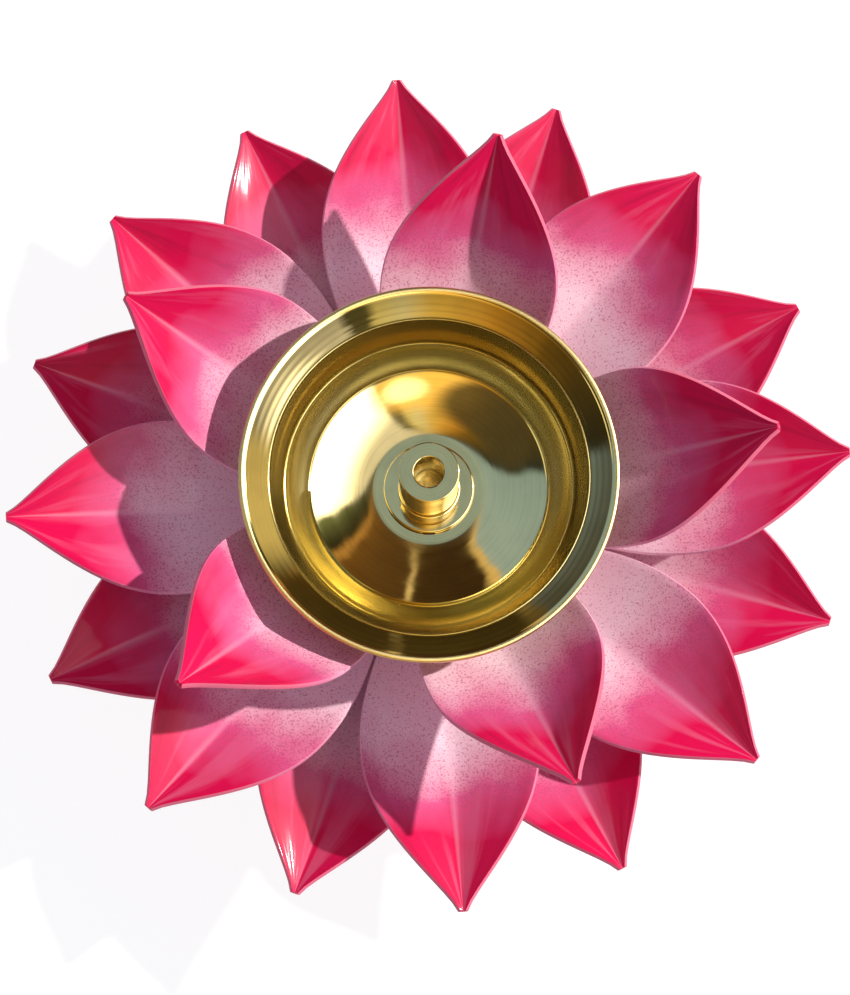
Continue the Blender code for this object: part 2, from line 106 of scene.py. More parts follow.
class LampColours(bpy.types.PropertyGroup):
    """Colours of the lamp's finishes."""

    petal_tip: FloatVectorProperty(name="Petal tip", description="Enamel at a petal's tip",
                                   subtype="COLOR", size=3, min=0, max=1, default=linear("#D30B4B"))
    petal_middle: FloatVectorProperty(name="Petal middle", description="Enamel half way along a petal",
                                      subtype="COLOR", size=3, min=0, max=1, default=linear("#DA5687"))
    petal_root: FloatVectorProperty(name="Petal root", description="Enamel where a petal leaves the bowl",
                                    subtype="COLOR", size=3, min=0, max=1, default=linear("#F4D4E0"))
    petal_speck: FloatVectorProperty(name="Petal specks", description="Specks of overspray on the pale root",
                                     subtype="COLOR", size=3, min=0, max=1, default=linear("#B54A77"))
    brass: FloatVectorProperty(name="Brass", description="Polished brass of the bowl and wick holder",
                               subtype="COLOR", size=3, min=0, max=1, default=linear("#E5D096"))
    lacquer: FloatVectorProperty(name="Foot lacquer", description="Gold lacquer of the foot",
                                 subtype="COLOR", size=3, min=0, max=1, default=linear("#C99C45"))
    tarnish: FloatVectorProperty(name="Tarnish", description="Dull brass where no polishing cloth reaches",
                                 subtype="COLOR", size=3, min=0, max=1, default=linear("#C6BA84"))
    zinc: FloatVectorProperty(name="Zinc", description="Plating of the nut and the steel washers",
                              subtype="COLOR", size=3, min=0, max=1, default=linear("#B9BCC0"))
    rubber: FloatVectorProperty(name="Rubber", description="Rubber of the foot pad and the seal washer",
                                subtype="COLOR", size=3, min=0, max=1, default=linear("#1E1D1D"))


class LampSizes(bpy.types.PropertyGroup):
    """Fineness of the lamp's surfaces, the light on it and the photograph's view of it."""

    turned_sides: IntProperty(name="Turned sides", description="Sides of a turned piece",
                              default=160, min=48, max=360)
    petal_rows: IntProperty(name="Petal rows", description="Faces along a petal",
                            default=44, min=10, max=120)
    petal_columns: IntProperty(name="Petal columns", description="Faces across a petal",
                               default=24, min=8, max=80)
    speckle: FloatProperty(name="Speckle", description="Size of a paint speck, drawn coarse enough to show",
                           unit="LENGTH", default=0.34 * MM, min=0.05 * MM, max=2 * MM)
    lathe_pitch: FloatProperty(name="Lathe pitch", description="Distance between turning marks in the brass",
                               unit="LENGTH", default=0.35 * MM, min=0.02 * MM, max=2 * MM)
    sun_strength: FloatProperty(name="Sun strength", description="Strength of the hard, low sun",
                                default=4.4, min=0)
    sky_strength: FloatProperty(name="Sky strength", description="Strength of the soft light all round",
                                default=0.57, min=0)
    view_height: FloatProperty(name="View angle", description="The camera's angle above the table",
                               subtype="ANGLE", default=math.radians(80.0))
    view_distance: FloatProperty(name="View distance", description="From the camera to the bowl's rim",
                                 unit="LENGTH", default=434 * MM, min=100 * MM)
    lens: FloatProperty(name="Lens", description="Focal length in millimetres on a 36 mm frame",
                        default=97.1, min=10)


def add_node(tree, kind, inputs=None, **settings):
    """Add a shader node, with its settings and with values or links for its inputs."""
    made = tree.nodes.new(kind)
    for name, value in settings.items():
        setattr(made, name, value)
    for socket, value in (inputs or {}).items():
        if isinstance(value, bpy.types.NodeSocket):
            tree.links.new(value, made.inputs[socket])
        else:
            made.inputs[socket].default_value = value
    return made


def set_stops(ramp, stops):
    """Give a colour ramp its stops of (place, colour)."""
    elements = ramp.color_ramp.elements
    while len(elements) > 1:
        elements.remove(elements[-1])
    elements[0].position, elements[0].color = stops[0][0], (*stops[0][1], 1.0)
    for place, colour in stops[1:]:
        elements.new(place).color = (*colour, 1.0)


def new_material(name):
    """An empty node material and its output."""
    made = bpy.data.materials.new(name)
    made.use_nodes = True
    made.node_tree.nodes.clear()
    output = made.node_tree.nodes.new("ShaderNodeOutputMaterial")
    return made, made.node_tree, output


def mixed(first, second, share):
    """A colour part of the way from the first to the second."""
    return tuple(a + (b - a) * share for a, b in zip(first, second))


def turned_brass(name, colour, roughness, pitch, tarnish=None, dull_zone=None, satin_from=None):
    """Brass turned on a lathe: rings of fine tool marks, the pitch apart, under a bright, warm polish.

    Between the heights of the dull zone it is tarnished, and beyond the satin radius it is only brushed.
    The marks catch the light as thin rings, and stretch reflections across them.
    """
    made, tree, output = new_material(name)
    place = add_node(tree, "ShaderNodeTexCoord").outputs["Object"]
    split = add_node(tree, "ShaderNodeSeparateXYZ", {0: place})
    flat = add_node(tree, "ShaderNodeCombineXYZ", {0: split.outputs[0], 1: split.outputs[1]})
    radius = add_node(tree, "ShaderNodeVectorMath", {0: flat.outputs[0]}, operation="LENGTH")
    ring = add_node(tree, "ShaderNodeCombineXYZ", {0: radius.outputs["Value"], 1: split.outputs[2]})
    marks = add_node(tree, "ShaderNodeTexNoise", {"Vector": ring.outputs[0], "Scale": 1 / pitch,
                                                  "Detail": 4.0, "Roughness": 0.7})
    bands = add_node(tree, "ShaderNodeTexNoise", {"Vector": ring.outputs[0], "Scale": 0.25 / pitch,
                                                  "Detail": 3.0})
    stain = add_node(tree, "ShaderNodeTexNoise", {"Vector": place, "Scale": 1 / (14 * MM), "Detail": 3.0,
                                                  "Roughness": 0.6})
    # Fine rings and broad stains share one tint, up to a sixth darker than fresh brass
    shade = add_node(tree, "ShaderNodeMath", {0: marks.outputs[0], 1: 0.5, 2: stain.outputs[0]},
                     operation="MULTIPLY_ADD")
    tint = add_node(tree, "ShaderNodeValToRGB", {0: shade.outputs[0]})
    dull = tuple(channel * 0.83 for channel in colour)
    set_stops(tint, [(0.63, dull), (0.87, tuple(colour))])
    polish = add_node(tree, "ShaderNodeMapRange", {
        "Value": bands.outputs[0], "From Min": 0.3, "From Max": 0.7, "To Min": roughness * 0.7,
        "To Max": roughness * 1.35})
    height = add_node(tree, "ShaderNodeMath", {0: bands.outputs[0], 1: 1.6, 2: marks.outputs[0]},
                      operation="MULTIPLY_ADD")
    bump = add_node(tree, "ShaderNodeBump", {"Height": height.outputs[0], "Strength": 0.12,
                                             "Distance": 0.02 * MM})
    around = add_node(tree, "ShaderNodeTangent", direction_type="RADIAL", axis="Z")
    if dull_zone:
        # Yellow-green tarnish where the polishing cloth does not reach
        middle, reach = sum(dull_zone) / 2, abs(dull_zone[1] - dull_zone[0]) / 2
        away = add_node(tree, "ShaderNodeMath", {0: split.outputs[2], 1: middle}, operation="SUBTRACT")
        away = add_node(tree, "ShaderNodeMath", {0: away.outputs[0]}, operation="ABSOLUTE")
        dulled = add_node(tree, "ShaderNodeMapRange", {"Value": away.outputs[0], "From Min": reach,
                                                       "From Max": reach + 0.5 * MM, "To Min": 0.85,
                                                       "To Max": 0.0})
        tint = add_node(tree, "ShaderNodeMix", {0: dulled.outputs[0], 6: tint.outputs[0],
                                                7: (*tarnish, 1.0)}, data_type="RGBA")
        polish = add_node(tree, "ShaderNodeMath", {0: dulled.outputs[0], 1: 0.15, 2: polish.outputs[0]},
                          operation="MULTIPLY_ADD")
    if satin_from:
        brushed = add_node(tree, "ShaderNodeMapRange", {"Value": radius.outputs["Value"],
                                                        "From Min": satin_from,
                                                        "From Max": satin_from + 0.2 * MM, "To Max": 0.3})
        polish = add_node(tree, "ShaderNodeMath", {0: polish.outputs[0], 1: brushed.outputs[0]},
                          operation="ADD")
    base = tint.outputs[2] if dull_zone else tint.outputs[0]
    shader = add_node(tree, "ShaderNodeBsdfPrincipled", {"Base Color": base, "Metallic": 1.0,
                                                         "Roughness": polish.outputs[0], "Anisotropic": 0.45,
                                                         "Tangent": around.outputs[0],
                                                         "Normal": bump.outputs[0]})
    tree.links.new(shader.outputs[0], output.inputs[0])
    return made


def zinc_plate(colour):
    """Bright zinc plating on steel: cool grey, mottled in patches of 0.8 mm, some shinier than others."""
    made, tree, output = new_material("zinc_plating")
    place = add_node(tree, "ShaderNodeTexCoord").outputs["Object"]
    mottle = add_node(tree, "ShaderNodeTexNoise", {"Vector": place, "Scale": 1 / (0.8 * MM), "Detail": 3.0})
    polish = add_node(tree, "ShaderNodeMapRange", {"Value": mottle.outputs[0], "To Min": 0.22,
                                                   "To Max": 0.45})
    shader = add_node(tree, "ShaderNodeBsdfPrincipled", {"Base Color": (*colour, 1.0),
                                                         "Metallic": 1.0, "Roughness": polish.outputs[0]})
    tree.links.new(shader.outputs[0], output.inputs[0])
    return made


def moulded_rubber(colour):
    """Black moulded rubber: matt, with a grain of 0.4 mm that breaks up what little it shines."""
    made, tree, output = new_material("moulded_rubber")
    place = add_node(tree, "ShaderNodeTexCoord").outputs["Object"]
    grain = add_node(tree, "ShaderNodeTexNoise", {"Vector": place, "Scale": 1 / (0.4 * MM), "Detail": 2.0})
    bump = add_node(tree, "ShaderNodeBump", {"Height": grain.outputs[0], "Strength": 0.3,
                                             "Distance": 0.05 * MM})
    shader = add_node(tree, "ShaderNodeBsdfPrincipled", {"Base Color": (*colour, 1.0),
                                                         "Roughness": 0.8, "Normal": bump.outputs[0]})
    tree.links.new(shader.outputs[0], output.inputs[0])
    return made


def petal_enamel(colours, speckle):
    """Sprayed enamel on pressed steel: pink at the tip thins out in fine specks to a pale root, under gloss.

    The petal map runs 0 to 1 across a petal and counts 60 mm back from the tip, which is at 1.
    """
    made, tree, output = new_material("sprayed_enamel")
    petal_map = add_node(tree, "ShaderNodeUVMap", uv_map="petal").outputs[0]
    split = add_node(tree, "ShaderNodeSeparateXYZ", {0: petal_map})
    place = add_node(tree, "ShaderNodeTexCoord").outputs["Object"]
    side = add_node(tree, "ShaderNodeMath", {0: split.outputs[0], 1: 0.5}, operation="SUBTRACT")
    side = add_node(tree, "ShaderNodeMath", {0: side.outputs[0]}, operation="ABSOLUTE")
    # The spray reaches further down the sides than along the middle, and its front is uneven
    cloud = add_node(tree, "ShaderNodeTexNoise", {"Vector": place, "Scale": 1 / (11 * MM), "Detail": 2.0})
    drift = add_node(tree, "ShaderNodeMath", {0: side.outputs[0], 1: 0.10, 2: split.outputs[1]},
                     operation="MULTIPLY_ADD")
    drift = add_node(tree, "ShaderNodeMath", {0: cloud.outputs[0], 1: 0.22, 2: drift.outputs[0]},
                     operation="MULTIPLY_ADD")
    spray = add_node(tree, "ShaderNodeMapRange", {"Value": drift.outputs[0], "From Min": 0.57,
                                                  "From Max": 1.02})
    paint = add_node(tree, "ShaderNodeValToRGB", {0: spray.outputs[0]})
    set_stops(paint, [(0.0, tuple(colours.petal_root)), (0.10, tuple(colours.petal_root)),
                      (0.33, mixed(colours.petal_root, colours.petal_middle, 0.5)),
                      (0.52, tuple(colours.petal_middle)), (0.82, tuple(colours.petal_tip))])
    # Overspray: the level at which the noise is cut rises away from the tip, so the specks thin out
    specks = add_node(tree, "ShaderNodeTexNoise", {"Vector": place, "Scale": 1 / speckle, "Detail": 2.0,
                                                   "Roughness": 0.7})
    level = add_node(tree, "ShaderNodeMapRange", {"Value": spray.outputs[0], "From Min": -0.2,
                                                  "From Max": 0.6, "To Min": 0.61, "To Max": 0.51})
    above = add_node(tree, "ShaderNodeMath", {0: specks.outputs[0], 1: level.outputs[0]},
                     operation="SUBTRACT")
    dots = add_node(tree, "ShaderNodeMapRange", {"Value": above.outputs[0], "From Min": 0.0, "From Max": 0.05,
                                                 "To Max": 0.62})
    fade = add_node(tree, "ShaderNodeMapRange", {"Value": spray.outputs[0], "From Min": 0.5, "From Max": 0.8,
                                                 "To Min": 1.0, "To Max": 0.0})
    amount = add_node(tree, "ShaderNodeMath", {0: dots.outputs[0], 1: fade.outputs[0]}, operation="MULTIPLY")
    specks_and_painted_sheen = add_node(tree, "ShaderNodeMix", {0: amount.outputs[0], 6: paint.outputs[0],
                                                7: (*colours.petal_speck, 1.0)}, data_type="RGBA")
    # Painted reflections: long streaks, dark and light, run back from the tip, as the gloss would mirror
    # streaky surroundings
    fan = add_node(tree, "ShaderNodeVectorMath", {0: petal_map, 1: (7.0, 2.6, 1.0)}, operation="MULTIPLY")
    patch = add_node(tree, "ShaderNodeVectorMath", {0: place, "Scale": 1 / (60 * MM)}, operation="SCALE")
    fan = add_node(tree, "ShaderNodeVectorMath", {0: fan.outputs[0], 1: patch.outputs[0]}, operation="ADD")
    reflection_streaks = add_node(tree, "ShaderNodeTexNoise", {"Vector": fan.outputs[0], "Scale": 1.0, "Detail": 3.0})
    for low, high, most, shade in ((0.55, 0.76, 0.55, "#8E0C34"), (0.45, 0.28, 0.28, "#E78FB2")):
        share = add_node(tree, "ShaderNodeMapRange", {"Value": reflection_streaks.outputs[0], "From Min": low,
                                                      "From Max": high, "To Max": most})
        share = add_node(tree, "ShaderNodeMath", {0: share.outputs[0], 1: spray.outputs[0]},
                         operation="MULTIPLY")
        specks_and_painted_sheen = add_node(tree, "ShaderNodeMix", {0: share.outputs[0], 6: specks_and_painted_sheen.outputs[2],
                                                    7: (*linear(shade), 1.0)}, data_type="RGBA")
    # A paler line is painted along the crease in the middle: a painted highlight where its rounded bottom
    # catches the light
    crease_highlight = add_node(tree, "ShaderNodeMapRange", {"Value": side.outputs[0], "From Min": 0.004,
                                                "From Max": 0.030, "To Min": 0.24, "To Max": 0.0})
    specks_and_painted_sheen = add_node(tree, "ShaderNodeMix", {0: crease_highlight.outputs[0], 6: specks_and_painted_sheen.outputs[2],
                                                7: (*linear("#EFB5CA"), 1.0)}, data_type="RGBA")
    # A pale line is painted along the sheet's edge: a painted highlight where the edge catches the light
    edge = add_node(tree, "ShaderNodeMapRange", {"Value": side.outputs[0], "From Min": 0.496,
                                                 "From Max": 0.4995, "To Max": 0.3})
    edge_highlighted = add_node(tree, "ShaderNodeMix", {0: edge.outputs[0], 6: specks_and_painted_sheen.outputs[2],
                                             7: (*linear("#EBB4C6"), 1.0)}, data_type="RGBA")
    # Soft ripples run along each petal, and the gloss has a slight orange peel
    run = add_node(tree, "ShaderNodeVectorMath", {0: petal_map, 1: (5.0, 2.0, 1.0)}, operation="MULTIPLY")
    ripple = add_node(tree, "ShaderNodeTexNoise", {"Vector": run.outputs[0], "Scale": 1.0, "Detail": 1.5})
    peel = add_node(tree, "ShaderNodeTexNoise", {"Vector": place, "Scale": 1 / (0.9 * MM), "Detail": 2.0})
    height = add_node(tree, "ShaderNodeMath", {0: peel.outputs[0], 1: 0.02, 2: ripple.outputs[0]},
                      operation="MULTIPLY_ADD")
    bump = add_node(tree, "ShaderNodeBump", {"Height": height.outputs[0], "Strength": 0.2,
                                             "Distance": 0.6 * MM})
    shader = add_node(tree, "ShaderNodeBsdfPrincipled", {
        "Base Color": edge_highlighted.outputs[2], "Roughness": 0.42, "Specular IOR Level": 0.08,
        "Coat Weight": 0.12, "Coat Roughness": 0.08, "Coat IOR": 1.5,
        "Normal": bump.outputs[0], "Coat Normal": bump.outputs[0]})
    tree.links.new(shader.outputs[0], output.inputs[0])
    return made


# What the polished brass reflects, by bearing in degrees from the right, anticlockwise. The colours run
# into each other from stop to stop.
SURROUNDINGS = (
    (0, "#FFFCF4"), (22, "#FFFCF4"), (25, "#4A523A"), (40, "#3A3827"), (44, "#D6A35F"), (48, "#7D5A2E"),
    (60, "#6B4E2B"), (79, "#5A4327"), (80, "#F0D8A2"), (82, "#F0D8A2"), (83, "#4C3922"), (116, "#43321C"),
    (119, "#F2D394"), (122, "#F2D394"), (124, "#AAC8E6"), (178, "#9DBDDB"), (183, "#3B3E38"),
    (200, "#5A4F30"), (222, "#8A6A2C"), (245, "#E8AC48"), (268, "#FFD873"), (280, "#FFF8D0"),
    (290, "#FFEFA8"), (294, "#6B6648"), (301, "#6B6648"), (304, "#FFFCF4"), (360, "#FFFCF4"))

# Round patches over that: haze about the sun, a lit wall on the near side and its brightest spot, a gap on
# the left, and near overhead a dark patch and a little pale sky. Each has its bearing, its angle from
# overhead, the angles where it fades out and is full, its colour, its strength and how much it covers.
PATCHES = (
    (20, 70, 26, 12, "#F2DFA0", 0.85, 1.0), (274, 21, 19, 8, "#FFD274", 1.65, 1.0),
    (292, 17, 7.5, 2.5, "#FFFBD0", 2.6, 1.0), (186, 48, 13, 11, "#FFF6C8", 1.3, 1.0),
    (206, 17, 16, 10, "#57503A", 1.0, 0.9), (90, 10, 3.4, 1.8, "#A6C2D6", 1.0, 0.9))


def direction(azimuth, polar):
    """Unit vector from an azimuth counted from +X towards +Y and an angle from overhead, in degrees."""
    across = math.sin(math.radians(polar))
    return Vector((across * math.cos(math.radians(azimuth)), across * math.sin(math.radians(azimuth)),
                   math.cos(math.radians(polar))))


def seen_as_backdrop(tree):
    """1 where the camera, a mirror or glass looks at the backdrop, and 0 where it lights the lamp."""
    rays = add_node(tree, "ShaderNodeLightPath")
    seen = add_node(tree, "ShaderNodeMath", {0: rays.outputs["Is Camera Ray"],
                                             1: rays.outputs["Is Glossy Ray"]}, operation="ADD")
    seen = add_node(tree, "ShaderNodeMath", {0: seen.outputs[0], 1: rays.outputs["Is Transmission Ray"]},
                    operation="ADD", use_clamp=True)
    return seen.outputs[0]


def deselect_all():
    """Back to object mode with nothing selected."""
    if bpy.context.object and bpy.context.object.mode != "OBJECT":
        bpy.ops.object.mode_set(mode="OBJECT")
    bpy.ops.object.select_all(action="DESELECT")


def finish_piece(piece, name, finish, body, node, sharp=32.0):
    """Name a piece, shade it, paint it and tie it to the frame."""
    piece.name = name
    piece.data.name = name
    deselect_all()
    piece.select_set(True)
    bpy.context.view_layer.objects.active = piece
    bpy.ops.object.shade_smooth_by_angle(angle=math.radians(sharp))
    piece.data.materials.clear()
    piece.data.materials.append(finish)
    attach(piece, body)
    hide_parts(node)


def turn_outline(outline, sides):
    """Spin a closed outline of (radius, height) points round the centre line, as on a lathe."""
    deselect_all()
    bpy.ops.mesh.primitive_circle_add(vertices=len(outline), radius=1.0, fill_type="NOTHING")
    piece = bpy.context.object
    for vertex, (radius, height) in zip(piece.data.vertices, outline):
        vertex.co = (radius, 0.0, height)
    bpy.ops.object.mode_set(mode="EDIT")
    bpy.ops.mesh.select_all(action="SELECT")
    bpy.ops.mesh.spin(steps=sides, angle=math.tau, center=(0, 0, 0), axis=(0, 0, 1))
    bpy.ops.mesh.select_all(action="SELECT")
    bpy.ops.mesh.remove_doubles(threshold=0.002 * MM)
    bpy.ops.mesh.normals_make_consistent(inside=False)
    bpy.ops.object.mode_set(mode="OBJECT")
    return piece


def ring_outline(low, high):
    """Outline of a plain ring round the screw, from the corners of its box."""
    return [(SCREW_HOLE, low[2]), (high[0], low[2]), (high[0], high[2]), (SCREW_HOLE, high[2])]


def bevel_piece(piece, width, segments, angle=35.0):
    """Break the sharp edges of a piece."""
    bevel = piece.modifiers.new("broken_edges", "BEVEL")
    bevel.width = width
    bevel.segments = segments
    bevel.limit_method = "ANGLE"
    bevel.angle_limit = math.radians(angle)
    bpy.ops.object.modifier_apply(modifier=bevel.name)


def cut_piece(piece, cutter, name, operation="DIFFERENCE"):
    """Cut a piece with another and throw the cutter away."""
    cut = piece.modifiers.new(name, "BOOLEAN")
    cut.object = cutter
    cut.operation = operation
    deselect_all()
    piece.select_set(True)
    bpy.context.view_layer.objects.active = piece
    bpy.ops.object.modifier_apply(modifier=cut.name)
    bpy.data.objects.remove(cutter, do_unlink=True)


def cut_cross(piece, name, length, width, depth, height):
    """Cut two slots that cross on the centre line, to a depth each way from a height."""
    for turn in (0.0, math.pi / 2):
        deselect_all()
        bpy.ops.mesh.primitive_cube_add(size=1.0, location=(0, 0, height), rotation=(0, 0, turn),
                                        scale=(length, width, 2 * depth))
        cut_piece(piece, bpy.context.object, name)


def arc(centre, radii, start, end, steps):
    """Points of an elliptic arc in the (radius, height) plane; angles in degrees."""
    points = []
    for step in range(steps + 1):
        angle = math.radians(start + (end - start) * step / steps)
        points.append((centre[0] + radii[0] * math.cos(angle), centre[1] + radii[1] * math.sin(angle)))
    return points


def smooth(share):
    """An even start and end between 0 and 1."""
    share = min(max(share, 0.0), 1.0)
    return share * share * (3.0 - 2.0 * share)


def petal_half_width(back, root_half_width, free_length):
    """Half width of a petal at a distance back from its tip."""
    if back < PETAL_WIDEST:
        pinch = 1.0 - BEAK_PINCH * math.exp(-back / PETAL_BEAK)
        blunt = PETAL_TIP_RADIUS * math.exp(-back / PETAL_BEAK)
        return blunt + PETAL_HALF_WIDTH * math.sin(back / PETAL_WIDEST * math.pi / 2) * pinch
    share = max(free_length - back, 0.0) / (free_length - PETAL_WIDEST)
    return root_half_width + (PETAL_HALF_WIDTH - root_half_width) * math.sin(share * math.pi / 2) ** 1.2


def petal_point(along, across, tier, lift):
    """A point of a petal that lies along +X, from its distance along and its share across."""
    length, root, notch = tier["length"], tier["root"], tier["notch"]
    sector = math.pi / tier["petals"]
    if along <= 0.0:
        radius = root + along
        return Vector((radius * math.cos(across * sector), radius * math.sin(across * sector), 0.0))
    middle = root + along * math.cos(lift)
    free_length = length - (notch - root) / math.cos(lift)
    half_width = petal_half_width(length - along, notch * math.sin(sector), free_length)
    if middle <= notch:
        half_width = middle * math.sin(sector)
    angle = across * math.asin(half_width / middle)
    straight = smooth((middle - notch) / (length - PETAL_WIDEST))
    x = middle * (1.0 - (1.0 - straight) * (1.0 - math.cos(angle)))
    beak = smooth(1.0 - (length - along) / PETAL_WIDEST)
    slope = VALLEY_SLOPE * smooth(1.8 * along / length) + (BEAK_SLOPE - VALLEY_SLOPE) * beak
    valley = ((math.hypot(across, CREASE_SHARE) - CREASE_SHARE)
              / (math.hypot(1.0, CREASE_SHARE) - CREASE_SHARE))
    rise = half_width * slope * valley ** VALLEY_CURVE + tier["bow"] * math.sin(math.pi * along / length)
    return Vector((x - rise * math.sin(lift), middle * math.sin(angle),
                   along * math.sin(lift) + rise * math.cos(lift)))


def add_petal(tier, number, top, rows, columns):
    """One petal with its sector of the root disc, as a grid pressed to shape."""
    deselect_all()
    bpy.ops.mesh.primitive_grid_add(x_subdivisions=columns, y_subdivisions=rows, size=2.0, calc_uvs=True)
    petal = bpy.context.object
    petal.data.uv_layers[0].name = "petal"
    lift = math.radians(tier["lifts"][number % len(tier["lifts"])])
    turn = Matrix.Rotation(math.radians(tier["bearing"] + 360.0 / tier["petals"] * number), 3, "Z")
    start = SPIGOT_HOLE - tier["root"]
    bend_row = round(rows * -start / (tier["length"] - start))
    to_notch = (tier["notch"] - tier["root"]) / math.cos(lift)
    notch_row = bend_row + max(round(to_notch / tier["length"] * (rows - bend_row)), 1 if to_notch else 0)
    places = []
    for vertex in petal.data.vertices:
        row = round((vertex.co.y + 1.0) / 2.0 * rows)
        if row <= bend_row:
            along = start * (1.0 - row / bend_row)
        elif row <= notch_row:
            along = to_notch * (row - bend_row) / (notch_row - bend_row)
        else:
            along = to_notch + (tier["length"] - to_notch) * (row - notch_row) / (rows - notch_row)
        places.append(((vertex.co.x + 1.0) / 2.0, 1.0 - (tier["length"] - along) / PETAL_MAP))
        point = turn @ petal_point(along, vertex.co.x, tier, lift)
        vertex.co = (point.x, point.y, point.z + top)
    for loop, item in zip(petal.data.loops, petal.data.uv_layers["petal"].data):
        item.uv = places[loop.vertex_index]
    return petal


def build_tier(name, tier, finish, sizes):
    """All petals of a tier joined into one sheet, thickened downwards and with broken edges."""
    low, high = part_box(tier["node"])
    top = low[2] + SHEET
    petals = [add_petal(tier, number, top, sizes.petal_rows, sizes.petal_columns)
              for number in range(tier["petals"])]
    deselect_all()
    for petal in petals:
        petal.select_set(True)
    bpy.context.view_layer.objects.active = petals[0]
    bpy.ops.object.join()
    sheet = bpy.context.object
    bpy.ops.object.mode_set(mode="EDIT")
    bpy.ops.mesh.select_all(action="SELECT")
    bpy.ops.mesh.remove_doubles(threshold=0.001 * MM)
    if sheet.data.polygons[0].normal.z < 0:
        bpy.ops.mesh.flip_normals()
    bpy.ops.object.mode_set(mode="OBJECT")
    thicken = sheet.modifiers.new("sheet", "SOLIDIFY")
    thicken.thickness = SHEET
    thicken.offset = -1.0
    bpy.ops.object.modifier_apply(modifier=thicken.name)
    bevel_piece(sheet, 0.16 * MM, 2, angle=50.0)
    finish_piece(sheet, name, finish, tier["body"], tier["node"], sharp=50.0)
    return sheet


class LAMP_OT_petals(bpy.types.Operator):
    """Press the three tiers of enamelled petals"""
    bl_idname = "lamp.petals"
    bl_label = "Petal Tiers"
    bl_options = {"REGISTER", "UNDO"}

    def execute(self, context):
        lamp = context.scene
        finish = petal_enamel(lamp.lamp_colours, lamp.lamp_sizes.speckle)
        for name, tier in TIERS.items():
            build_tier(name + "_petals", tier, finish, lamp.lamp_sizes)
        return {"FINISHED"}


class LAMP_OT_bowl(bpy.types.Operator):
    """Turn the brass oil bowl with its flared and stepped rim"""
    bl_idname = "lamp.bowl"
    bl_label = "Oil Bowl"
    bl_options = {"REGISTER", "UNDO"}

    lip_width = 0.9 * MM
    lip_rounding = (0.5 * MM, 0.35 * MM)
    band_width = 4.0 * MM
    band_depth = 3.0 * MM
    wall = 1.0 * MM
    wall_foot = (23.9 * MM, 5.2 * MM)       # radius, and height over the floor of the dish
    dish_edge = (20.0 * MM, 2.0 * MM)       # the same
    sag = 0.12 * MM
    depth = 15.8 * MM
    flat_radius = 8.1 * MM
    hollow = 0.25 * MM
    groove = 0.045 * MM
    scribe = 0.09 * MM

    def dish(self, edge, flat_height, steps):
        """Shallow bottom, down to where it runs smoothly into the flat floor."""
        height, width = edge[1] - flat_height, edge[0] - self.flat_radius
        radius = (height ** 2 + width ** 2) / (2 * height)
        start = math.degrees(math.asin((height - radius) / radius))
        return arc((self.flat_radius, flat_height + radius), (radius, radius), start, -90, steps)

    def face(self, start, end, steps):
        """A face of the side, very slightly hollow as the turning tool leaves it."""
        across, down = end[0] - start[0], end[1] - start[1]
        points = []
        for step in range(steps):
            share = (step + 1) / (steps + 1)
            sag = self.sag * math.sin(math.pi * share)
            length = math.hypot(across, down)
            points.append((start[0] + across * share - down / length * sag,
                           start[1] + down * share + across / length * sag))
        return points

    def scribed(self, corner):
        """A fine raised line where two faces meet."""
        radius, height = corner
        return [(radius + self.scribe, height), (radius + 0.3 * self.scribe, height + self.scribe),
                (radius - self.scribe, height + 0.3 * self.scribe)]

    def execute(self, context):
        lamp = context.scene
        lip_inner = BOWL_RADIUS - self.lip_width
        wall_radius, wall_top = lip_inner - self.band_width, RIM_HEIGHT - self.band_depth
        across, down = self.lip_rounding
        outline = arc((BOWL_RADIUS - across, RIM_HEIGHT - down), (across, down), 0, 140, 10)
        # The flared band is hollowed and carries three fine grooves
        for groove_share in (0.20, 0.44, 0.68, 0.92):
            for share, cut in ((groove_share - 0.17, 0.0), (groove_share - 0.10, 0.0),
                               (groove_share - 0.03, 0.0), (groove_share, self.groove)):
                dip = self.hollow * math.sin(math.pi * share) + cut
                outline.append((lip_inner - self.band_width * share - dip * 0.67,
                                RIM_HEIGHT - self.band_depth * share - dip * 0.74))
        # A fine bead, the steep wall, a cone between two scribed rings, and the shallow dish
        floor = RIM_HEIGHT - self.depth
        wall_foot = (self.wall_foot[0], floor + self.wall_foot[1])
        dish_edge = (self.dish_edge[0], floor + self.dish_edge[1])
        outline += arc((wall_radius + 0.12 * MM, wall_top - 0.1 * MM), (0.16 * MM, 0.2 * MM), 60, 200, 5)
        outline += self.face((wall_radius, wall_top), wall_foot, 7)
        outline += self.scribed(wall_foot)
        outline += self.face(wall_foot, dish_edge, 7)
        outline += self.scribed(dish_edge)
        outline += self.dish(dish_edge, floor, 48)[1:]
        outline += [(SCREW_HOLE, floor), (SCREW_HOLE, BOWL_LOW[2])]
        outline += reversed(self.dish((dish_edge[0] + 0.5 * MM, dish_edge[1] - 0.85 * MM), BOWL_LOW[2], 24))
        outline += [(wall_foot[0] + 0.85 * MM, wall_foot[1] - 0.6 * MM), (wall_radius + self.wall, wall_top)]
        outline += [(lip_inner - self.band_width / 2 + self.wall,
                     RIM_HEIGHT - self.band_depth / 2 - self.wall / 2),
                    (BOWL_RADIUS - 0.2 * MM, RIM_HEIGHT - 1.2 * MM), (BOWL_RADIUS, RIM_HEIGHT - 1.0 * MM)]
        bowl = turn_outline(outline, lamp.lamp_sizes.turned_sides)
        # Buffed to a mirror inside, tarnished on the steep wall, brushed on the lip
        finish = turned_brass("buffed_brass", lamp.lamp_colours.brass, roughness=0.05,
                              pitch=lamp.lamp_sizes.lathe_pitch, tarnish=lamp.lamp_colours.tarnish,
                              dull_zone=(dish_edge[1] + 0.2 * MM, wall_top), satin_from=lip_inner)
        finish_piece(bowl, "turned_oil_bowl", finish, "lamp_body", "oil_bowl", sharp=62.0)
        return {"FINISHED"}


